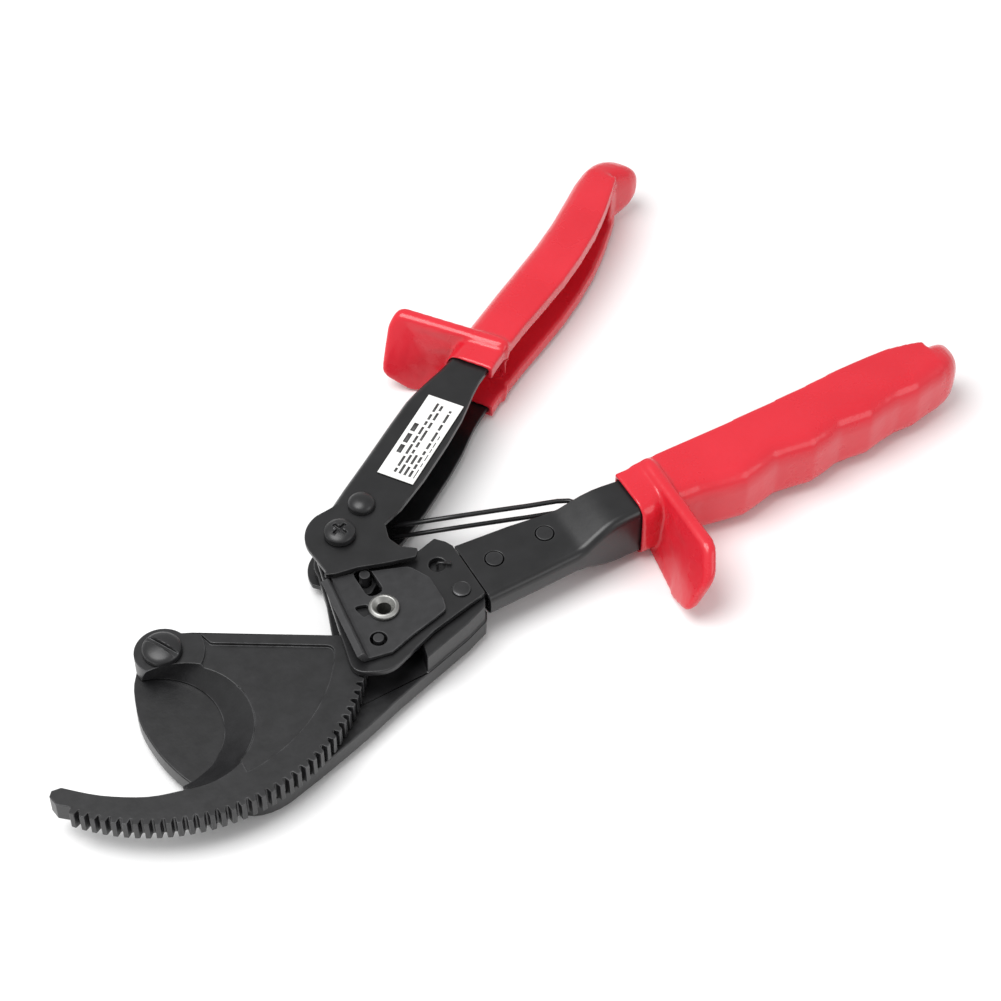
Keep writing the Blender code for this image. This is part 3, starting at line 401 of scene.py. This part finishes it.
def bright_metal(name, colour, roughness, depth=0.00001):
    made, tree, shader = new_material(name, metallic=1.0)
    peel = place_group(tree, "cast_grain", Grain_Scale=1500.0, Swell_Scale=400.0)
    marks = place_group(tree, "hairlines", Density=1400.0, Stretch=0.2)
    tint = blend_colours(tree, peel.outputs["Tone"], [c * 0.86 for c in colour], colour)
    tree.links.new(tint.outputs[2], shader.inputs["Base Color"])
    rough = sum_of(tree, (peel.outputs["Height"], 0.2), (marks.outputs["Marks"], 0.18))
    tree.links.new(remap(tree, rough, 0.0, 1.0, roughness - 0.1, roughness + 0.9),
                   shader.inputs["Roughness"])
    bump(tree, shader, peel.outputs["Height"], depth)
    return made


def dipped_vinyl():
    look = finish()
    made, tree, shader = new_material("dipped_vinyl", coat=0.30, coat_roughness=0.07, specular=0.36)
    shader.inputs["Subsurface Weight"].default_value = 0.12
    shader.inputs["Subsurface Radius"].default_value = (0.0022, 0.0004, 0.0004)
    shader.inputs["Subsurface Scale"].default_value = 1.0
    flow = place_group(tree, "dip_flow")
    deep = [look.vinyl[0] * 0.93, look.vinyl[1] * 0.75, look.vinyl[2] * 0.8]
    tint = blend_colours(tree, flow.outputs["Tone"], deep, look.vinyl)
    tree.links.new(tint.outputs[2], shader.inputs["Base Color"])
    tree.links.new(remap(tree, flow.outputs["Height"], 0.2, 0.8, look.vinyl_gloss - 0.05,
                         look.vinyl_gloss + 0.07), shader.inputs["Roughness"])
    bump(tree, shader, flow.outputs["Height"], 0.0009, 0.55)
    return made


def label_stock():
    look = finish()
    made, tree, shader = new_material("label_stock", coat=0.3, coat_roughness=0.25)
    peel = place_group(tree, "cast_grain", Grain_Scale=1300.0, Swell_Scale=220.0)
    tint = blend_colours(tree, peel.outputs["Tone"], [c * 0.96 for c in look.paper], look.paper)
    tree.links.new(tint.outputs[2], shader.inputs["Base Color"])
    tree.links.new(remap(tree, peel.outputs["Height"], 0.2, 0.8, 0.42, 0.55), shader.inputs["Roughness"])
    bump(tree, shader, peel.outputs["Height"], 0.00002)
    return made


def label_ink():
    made, tree, shader = new_material("label_ink")
    peel = place_group(tree, "cast_grain", Grain_Scale=2400.0, Swell_Scale=900.0)
    tint = blend_colours(tree, peel.outputs["Tone"], (0.03, 0.03, 0.03), (0.07, 0.07, 0.07))
    tree.links.new(tint.outputs[2], shader.inputs["Base Color"])
    tree.links.new(remap(tree, peel.outputs["Height"], 0.2, 0.8, 0.45, 0.6), shader.inputs["Roughness"])
    return made


def floor_card():
    made, tree, shader = new_material("floor_card")
    peel = place_group(tree, "cast_grain", Grain_Scale=300.0, Swell_Scale=6.0)
    colour = list(stage_sizes().floor)
    tint = blend_colours(tree, peel.outputs["Tone"], [c * 0.995 for c in colour], colour)
    tree.links.new(tint.outputs[2], shader.inputs["Base Color"])
    shader.inputs["Roughness"].default_value = 0.6
    shader.inputs["Specular IOR Level"].default_value = 0.2
    return made


FINISHES = {
    "lacquered_forging": lambda: lacquer("lacquered_forging", 0.55, 700.0, 190.0, 0.00007),
    "lacquered_blade": lambda: lacquer("lacquered_blade", 0.8, 900.0, 240.0, 0.00005, lift=1.2),
    "lacquered_sheet": lambda: lacquer("lacquered_sheet", 0.5, 1100.0, 150.0, 0.00003, gloss=-0.03),
    "phosphate_sheet": lambda: lacquer("phosphate_sheet", 0.9, 1200.0, 300.0, 0.00003, 0.10, 1.9),
    "lacquered_screw": lambda: lacquer("lacquered_screw", 0.8, 1200.0, 420.0, 0.00003, 0.02, 1.3),
    "spring_wire": lambda: lacquer("spring_wire", 0.3, 1500.0, 500.0, 0.00001, -0.05, 0.9),
    "bright_zinc": lambda: bright_metal("bright_zinc", list(finish().zinc), 0.42),
    "dipped_vinyl": dipped_vinyl,
    "label_stock": label_stock,
    "label_ink": label_ink,
    "floor_card": floor_card,
}


def skin(name):
    return bpy.data.materials.get(name + "_finish") or FINISHES[name]()


# ---------------------------------------------------------------- mesh work
def welded_copy(part, label):
    """The part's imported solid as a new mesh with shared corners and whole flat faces."""
    bm = bmesh.new()
    bm.from_mesh(frame["nodes"][part].data)
    bmesh.ops.remove_doubles(bm, verts=bm.verts, dist=WELD)
    bmesh.ops.dissolve_limit(bm, angle_limit=math.radians(FLAT_ANGLE), verts=bm.verts, edges=bm.edges)
    bmesh.ops.recalc_face_normals(bm, faces=bm.faces)
    mesh = bpy.data.meshes.new(label)
    bm.to_mesh(mesh)
    bm.free()
    if "custom_normal" in mesh.attributes:
        mesh.attributes.remove(mesh.attributes["custom_normal"])
    return mesh


def put(mesh, label, material, body, replaced=None):
    """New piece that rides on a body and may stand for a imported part."""
    mesh.materials.clear()
    mesh.materials.append(skin(material))
    mesh.shade_smooth()
    piece = bpy.data.objects.new(label, mesh)
    bpy.context.scene.collection.objects.link(piece)
    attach(piece, body)
    if replaced:
        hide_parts(replaced)
    return piece


def body_of(part):
    groups = frame["record"]["behaviour"]["bodies"]
    return next(body for body, members in groups.items() if part in members)


def work_edges(piece, width):
    """Rounded edges, with flat faces kept flat to the eye."""
    edge = piece.modifiers.new("worked_edge", "BEVEL")
    edge.width = width
    edge.segments = 2
    edge.limit_method = "ANGLE"
    edge.angle_limit = math.radians(EDGE_ANGLE)
    edge.use_clamp_overlap = False
    edge.miter_outer = "MITER_ARC"
    even = piece.modifiers.new("even_faces", "WEIGHTED_NORMAL")
    even.keep_sharp = True


def finished(part, material, width):
    """The part with worked edges and its finish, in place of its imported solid."""
    label = part + "_finished"
    piece = put(welded_copy(part, label), label, material, body_of(part), part)
    work_edges(piece, width)


def dipped(part, material):
    """A grip as a soft dipped coat: an even skin over the solid, smoothed."""
    sizes = edges()
    label = part + "_dipped"
    piece = put(welded_copy(part, label), label, material, body_of(part), part)
    coat = piece.modifiers.new("coat", "REMESH")
    coat.mode = "VOXEL"
    coat.voxel_size = sizes.dip_cell
    coat.use_smooth_shade = True
    flow = piece.modifiers.new("flow", "SMOOTH")
    flow.factor = 0.5
    flow.iterations = sizes.dip_rounds


# ---------------------------------------------------------------- operators, one for each group of pieces
class CUTTER_OT_blades(bpy.types.Operator):
    """Forged fixed blade and toothed moving blade"""
    bl_idname = "cutter.blades"
    bl_label = "Blades"

    def execute(self, context):
        finished("fixed_blade", "lacquered_forging", edges().forged)
        finished("moving_blade", "lacquered_blade", edges().tooth)
        return {"FINISHED"}


class CUTTER_OT_side_plate(bpy.types.Operator):
    """Side plate and the rivets that join the frame"""
    bl_idname = "cutter.side_plate"
    bl_label = "Side plate"

    def execute(self, context):
        finished("front_side_plate", "lacquered_sheet", edges().stamped * 1.6)
        for part in ("side_plate_rivet", "fixed_handle_rivet_1", "fixed_handle_rivet_2"):
            finished(part, "lacquered_screw", edges().turned)
        return {"FINISHED"}


class CUTTER_OT_fasteners(bpy.types.Operator):
    """Pivot screws, their nuts, the domed rivet and the anchor pin"""
    bl_idname = "cutter.fasteners"
    bl_label = "Fasteners"

    def execute(self, context):
        for part in ("blade_pivot_screw", "blade_pivot_nut", "handle_pivot_screw",
                     "handle_pivot_barrel_nut", "pawl_rivet", "spring_anchor_pin"):
            finished(part, "lacquered_screw", edges().turned)
        return {"FINISHED"}


class CUTTER_OT_pawls(bpy.types.Operator):
    """The two pawls, their pins and the zinc eyelet"""
    bl_idname = "cutter.pawls"
    bl_label = "Pawls"

    def execute(self, context):
        for part in ("drive_pawl", "holding_pawl"):
            finished(part, "lacquered_blade", edges().stamped)
        for part in ("drive_pawl_pin", "holding_pawl_pin"):
            finished(part, "phosphate_sheet", edges().turned)
        finished("lever_eyelet", "bright_zinc", edges().turned)
        return {"FINISHED"}


class CUTTER_OT_lever(bpy.types.Operator):
    """Release lever with its bent thumb edge"""
    bl_idname = "cutter.lever"
    bl_label = "Release lever"

    def execute(self, context):
        finished("release_lever", "phosphate_sheet", edges().stamped * 0.8)
        return {"FINISHED"}


class CUTTER_OT_handles(bpy.types.Operator):
    """Two stamped channel handles"""
    bl_idname = "cutter.handles"
    bl_label = "Handles"

    def execute(self, context):
        for part in ("fixed_handle", "moving_handle"):
            finished(part, "lacquered_sheet", edges().stamped)
        return {"FINISHED"}


class CUTTER_OT_grips(bpy.types.Operator):
    """Two dipped grips with finger guards"""
    bl_idname = "cutter.grips"
    bl_label = "Grips"

    def execute(self, context):
        for part in ("fixed_handle_grip", "moving_handle_grip"):
            dipped(part, "dipped_vinyl")
        return {"FINISHED"}


class CUTTER_OT_springs(bpy.types.Operator):
    """Return spring and the two small pawl springs"""
    bl_idname = "cutter.springs"
    bl_label = "Springs"

    def execute(self, context):
        for part in ("return_spring", "drive_pawl_spring", "holding_pawl_spring"):
            label = part + "_wire"
            put(welded_copy(part, label), label, "spring_wire", body_of(part), part)
        return {"FINISHED"}


class CUTTER_OT_label(bpy.types.Operator):
    """White label with printed bars that stand for small print"""
    bl_idname = "cutter.label"
    bl_label = "Label"

    def execute(self, context):
        finished("rating_label", "label_stock", LABEL_EDGE)
        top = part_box("rating_label")[1].z
        along = Vector((math.cos(HANDLE_SPREAD), math.sin(HANDLE_SPREAD), 0))
        across = Vector((-along.y, along.x, 0))
        draw = random.Random(PRINT_SEED)
        bm = bmesh.new()
        for offset, height, first, last in PRINT_ROWS:
            spot = first
            while spot < last:
                wide = min(draw.uniform(0.05, 0.14), last - spot)
                bar = bmesh.ops.create_cube(bm, size=1)["verts"]
                centre = HINGE + along * ((PRINT_START + PRINT_LENGTH * (spot + wide / 2)) * MM) \
                    + across * (offset * MM)
                for vert in bar:
                    local = vert.co.copy()
                    vert.co = centre + along * (local.x * wide * PRINT_LENGTH * MM) \
                        + across * (local.y * height * MM)
                    vert.co.z = top + (local.z + 0.5) * PRINT_THICKNESS * MM + PRINT_LIFT * MM
                spot += wide + draw.uniform(0.02, 0.035)
        mesh = bpy.data.meshes.new("label_print")
        bm.to_mesh(mesh)
        bm.free()
        put(mesh, "label_print", "label_ink", body_of("rating_label"))
        return {"FINISHED"}


class CUTTER_OT_stage(bpy.types.Operator):
    """Pale floor, soft light and camera"""
    bl_idname = "cutter.stage"
    bl_label = "Stage"

    def execute(self, context):
        sizes = stage_sizes()
        scene = context.scene
        low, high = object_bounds()
        centre = (low + high) / 2
        bpy.ops.mesh.primitive_plane_add(size=12.0, location=(centre.x, centre.y, low.z - FLOOR_GAP))
        floor = context.object
        floor.name = "floor"
        floor.data.materials.append(skin("floor_card"))
        floor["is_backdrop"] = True

        world = bpy.data.worlds.new("surround")
        scene.world = world
        world.use_nodes = True
        sky = world.node_tree.nodes["Background"]
        sky.inputs["Color"].default_value = (1, 1, 1, 1)
        sky.inputs["Strength"].default_value = sizes.sky

        turn = sizes.azimuth
        right = Vector((math.cos(turn), math.sin(turn), 0))
        away = Vector((-right.y, right.x, 0))
        for label, aside, behind, up, size, share in LAMPS:
            spot = right * aside + away * behind + Vector((0, 0, up))
            lamp = bpy.data.lights.new(label, "AREA")
            lamp.shape = "DISK"
            lamp.size = size
            lamp.energy = sizes.key_power * share
            holder = bpy.data.objects.new(label, lamp)
            holder.location = centre + spot
            holder.rotation_mode = "QUATERNION"
            holder.rotation_quaternion = (centre - holder.location).to_track_quat("-Z", "Y")
            scene.collection.objects.link(holder)

        low_angle = math.cos(sizes.elevation)
        back = Vector((math.sin(turn) * low_angle, -math.cos(turn) * low_angle, math.sin(sizes.elevation)))
        lens = bpy.data.cameras.new("camera")
        lens.sensor_width = 36.0
        lens.lens = lens.sensor_width * sizes.distance / sizes.view_width
        lens.clip_start, lens.clip_end = 0.01, 50.0
        camera = bpy.data.objects.new("camera", lens)
        camera.rotation_mode = "QUATERNION"
        camera.location = CAMERA_TARGET + back * sizes.distance
        camera.rotation_quaternion = (-back).to_track_quat("-Z", "Y")
        scene.collection.objects.link(camera)
        scene.camera = camera
        scene.view_settings.view_transform = "Standard"
        return {"FINISHED"}


class CUTTER_PT_panel(bpy.types.Panel):
    """Sizes, colours and steps of the cutter"""
    bl_label = "Cutter"
    bl_idname = "CUTTER_PT_panel"
    bl_space_type = "VIEW_3D"
    bl_region_type = "UI"
    bl_category = "Cutter"

    def draw(self, context):
        for group in (finish(), edges(), stage_sizes()):
            box = self.layout.box()
            for name in group.bl_rna.properties.keys():
                if name not in ("rna_type", "name"):
                    box.prop(group, name)
        for step in STEPS:
            self.layout.operator(step.bl_idname)


GROUPS = {"cutter_finish": CutterFinish, "cutter_edges": CutterEdges, "cutter_stage": CutterStage}
STEPS = (CUTTER_OT_blades, CUTTER_OT_side_plate, CUTTER_OT_fasteners, CUTTER_OT_pawls, CUTTER_OT_lever,
         CUTTER_OT_handles, CUTTER_OT_grips, CUTTER_OT_springs, CUTTER_OT_label, CUTTER_OT_stage)


def register():
    for name, group in GROUPS.items():
        bpy.utils.register_class(group)
        setattr(bpy.types.Scene, name, bpy.props.PointerProperty(type=group))
    for step in STEPS:
        bpy.utils.register_class(step)
    bpy.utils.register_class(CUTTER_PT_panel)


def unregister():
    bpy.utils.unregister_class(CUTTER_PT_panel)
    for step in reversed(STEPS):
        bpy.utils.unregister_class(step)
    for name, group in GROUPS.items():
        delattr(bpy.types.Scene, name)
        bpy.utils.unregister_class(group)


def main():
    register()
    bpy.ops.cutter.blades()
    bpy.ops.cutter.side_plate()
    bpy.ops.cutter.fasteners()
    bpy.ops.cutter.pawls()
    bpy.ops.cutter.lever()
    bpy.ops.cutter.handles()
    bpy.ops.cutter.grips()
    bpy.ops.cutter.springs()
    bpy.ops.cutter.label()
    bpy.ops.cutter.stage()


if __name__ == "__main__":
    main()
